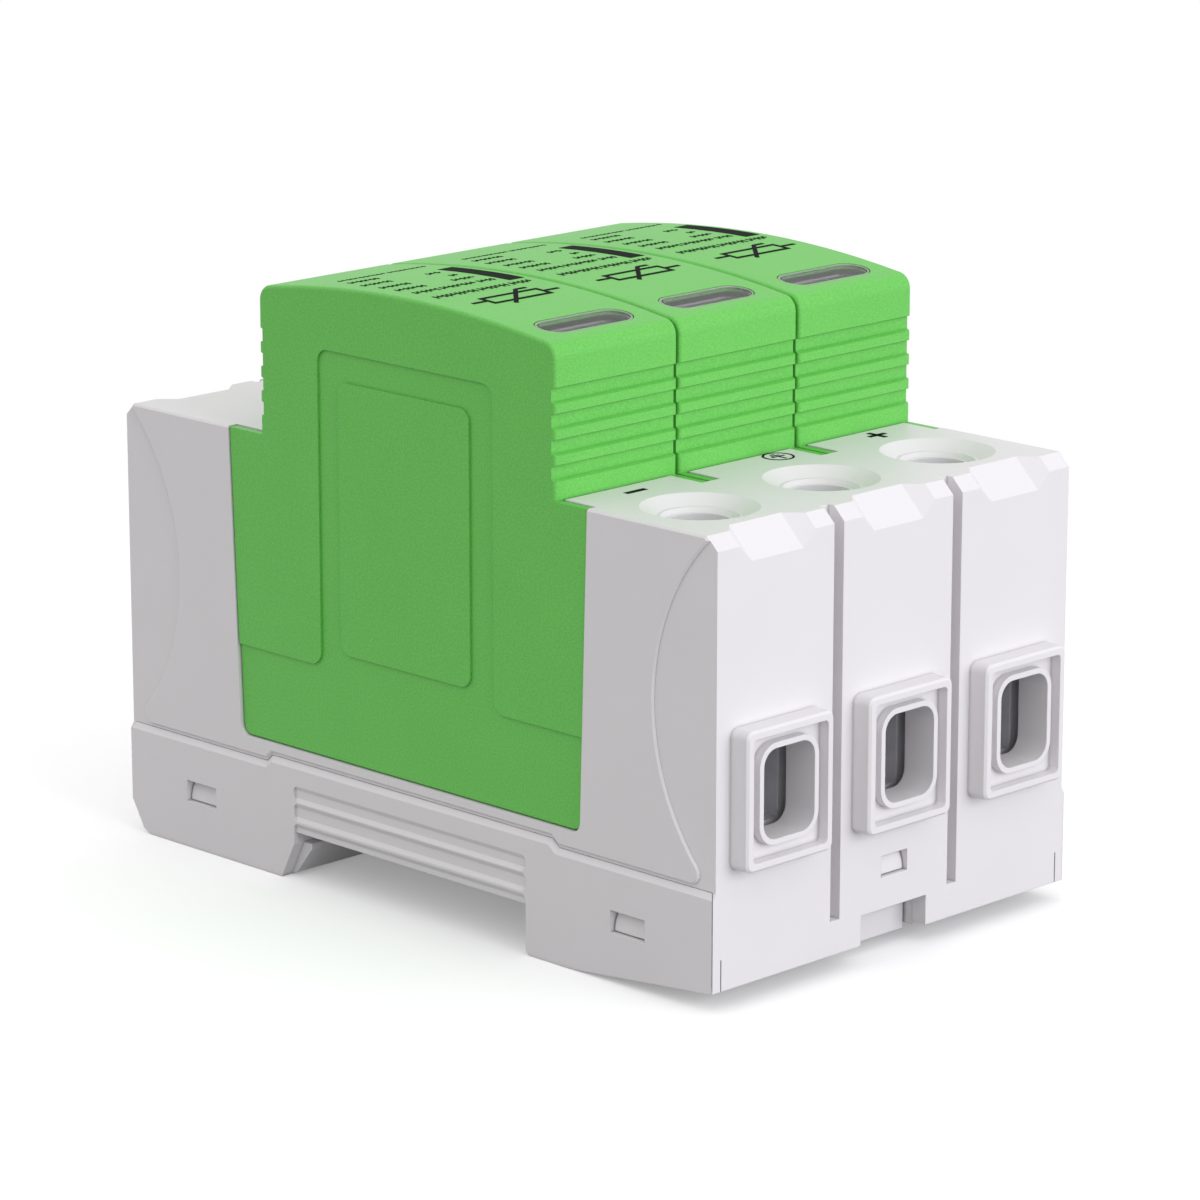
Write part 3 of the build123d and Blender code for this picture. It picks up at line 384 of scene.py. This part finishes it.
for k in poles:
    sheet = bmesh.new()
    for start, end in SYMBOL:
        stroke(sheet, start, end, wide=0.5)
    for d, tall, *runs in ROWS:
        for start, end in runs:
            stroke(sheet, (start, d), (end, d), wide=0.16)
            for tick in range(int((end - start) / TICK_PITCH) + 1):
                x = start + TICK_WIDE / 2 + TICK_PITCH * tick
                short = 0.3 * tall if tick % 3 == 1 else 0.0
                stroke(sheet, (x, d - tall / 2 + short), (x, d + tall / 2), TICK_WIDE)
    stroke(sheet, *BAR, wide=2.1)
    for d in range(36, 58):  # cuts every mm let the print bend with the arch
        bmesh.ops.bisect_plane(sheet, geom=sheet.verts[:] + sheet.edges[:] + sheet.faces[:], dist=1e-7,
                               plane_co=(0, d * MM - END_FACE, 0), plane_no=(0, 1, 0))
    low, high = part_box(f"cartridge_{k}_shell")
    bmesh.ops.translate(sheet, vec=((low.x + high.x) / 2, 0, 0), verts=sheet.verts)
    onto_arch(sheet, 0.0)
    finished(f"cartridge_{k}_print", sheet, ink_black, f"cartridge_{k}")


# Studio. A white table that fades into a white backdrop away from the object, an even pale sky, and
# one wide softbox low in front of the terminal end, a little cooler than the sky.
TABLE_SIZE = 8.0
FADE_START, FADE_END = 0.07, 0.22  # metres from the middle


def seen_by_eye(tree):
    """1 for the rays that should meet the white backdrop: straight, mirrored or through the windows."""
    rays = add(tree, "LightPath").outputs
    seen = add(tree, "Math", {0: rays["Is Camera Ray"], 1: rays["Is Glossy Ray"]}, operation="MAXIMUM")
    seen = add(tree, "Math", {0: seen.outputs[0], 1: rays["Is Transmission Ray"]}, operation="MAXIMUM")
    return seen.outputs[0]


bpy.ops.mesh.primitive_plane_add(size=TABLE_SIZE)
table = bpy.context.object
table.name = "table"
table_white, tree, surface = blank("table_white")
place = add(tree, "TexCoord").outputs["Object"]
reach = add(tree, "VectorMath", {0: place}, operation="LENGTH").outputs["Value"]
fade = add(tree, "MapRange", {"Value": reach, "From Min": FADE_START, "From Max": FADE_END},
           interpolation_type="SMOOTHSTEP")
matt = add(tree, "BsdfDiffuse", {"Color": linear("#979797")})
pale = add(tree, "BsdfDiffuse", {"Color": linear("#f4f4f4")})
lift = add(tree, "Emission", {"Color": linear("#ffffff"), "Strength": 0.24})
lifted = add(tree, "AddShader", {0: pale.outputs[0], 1: lift.outputs[0]})
glow = add(tree, "Emission", {"Color": linear("#ffffff"), "Strength": 1.0})
faded = add(tree, "MixShader", {0: fade.outputs["Result"], 1: lifted.outputs[0], 2: glow.outputs[0]})
shown = add(tree, "MixShader", {0: seen_by_eye(tree), 1: matt.outputs[0], 2: faded.outputs[0]})
tree.links.new(shown.outputs[0], surface)
table.data.materials.append(table_white)

world = bpy.data.worlds.new("studio")
bpy.context.scene.world = world
world.use_nodes = True
tree = world.node_tree
tree.nodes.clear()
sky = add(tree, "Background", {"Color": linear("#ffffff"), "Strength": 0.89})
backdrop = add(tree, "Background", {"Color": linear("#ffffff"), "Strength": 1.0})
mixed = add(tree, "MixShader", {0: seen_by_eye(tree), 1: sky.outputs[0], 2: backdrop.outputs[0]})
add(tree, "OutputWorld", {"Surface": mixed.outputs[0]})


def softbox(name, towards, distance, size, energy):
    """Square softbox that faces the object's middle, some metres away in one direction."""
    lamp = bpy.data.lights.new(name, "AREA")
    lamp.shape = "SQUARE"
    lamp.size = size
    lamp.energy = energy
    lamp.color = linear("#f6f8ff")[:3]
    holder = bpy.data.objects.new(name, lamp)
    bpy.context.scene.collection.objects.link(holder)
    way = Vector(towards).normalized()
    holder.location = way * distance + Vector((0, 0, 30 * MM))
    holder.rotation_mode = "QUATERNION"
    holder.rotation_quaternion = way.to_track_quat("Z", "Y")


softbox("softbox_key", (0.1, -1.0, 0.14), distance=1.15, size=1.0, energy=9.8)


# Camera. It stands at the photograph's angle, 45 degrees to the left of the terminal end and 14 above
# level, 0.54 m from the object.
EYE = Vector((-371.676, -373.486, 164.777)) * MM
AIM = Vector((0.723, -0.064, 29.705)) * MM
lens = bpy.data.cameras.new("camera")
lens.sensor_width = 36
lens.lens = 151.652
lens.clip_start, lens.clip_end = 0.01, 50
camera = bpy.data.objects.new("camera", lens)
camera.location = EYE
camera.rotation_mode = "QUATERNION"
camera.rotation_quaternion = (AIM - EYE).to_track_quat("-Z", "Y")
bpy.context.scene.collection.objects.link(camera)
bpy.context.scene.camera = camera
bpy.context.scene.view_settings.view_transform = "Standard"
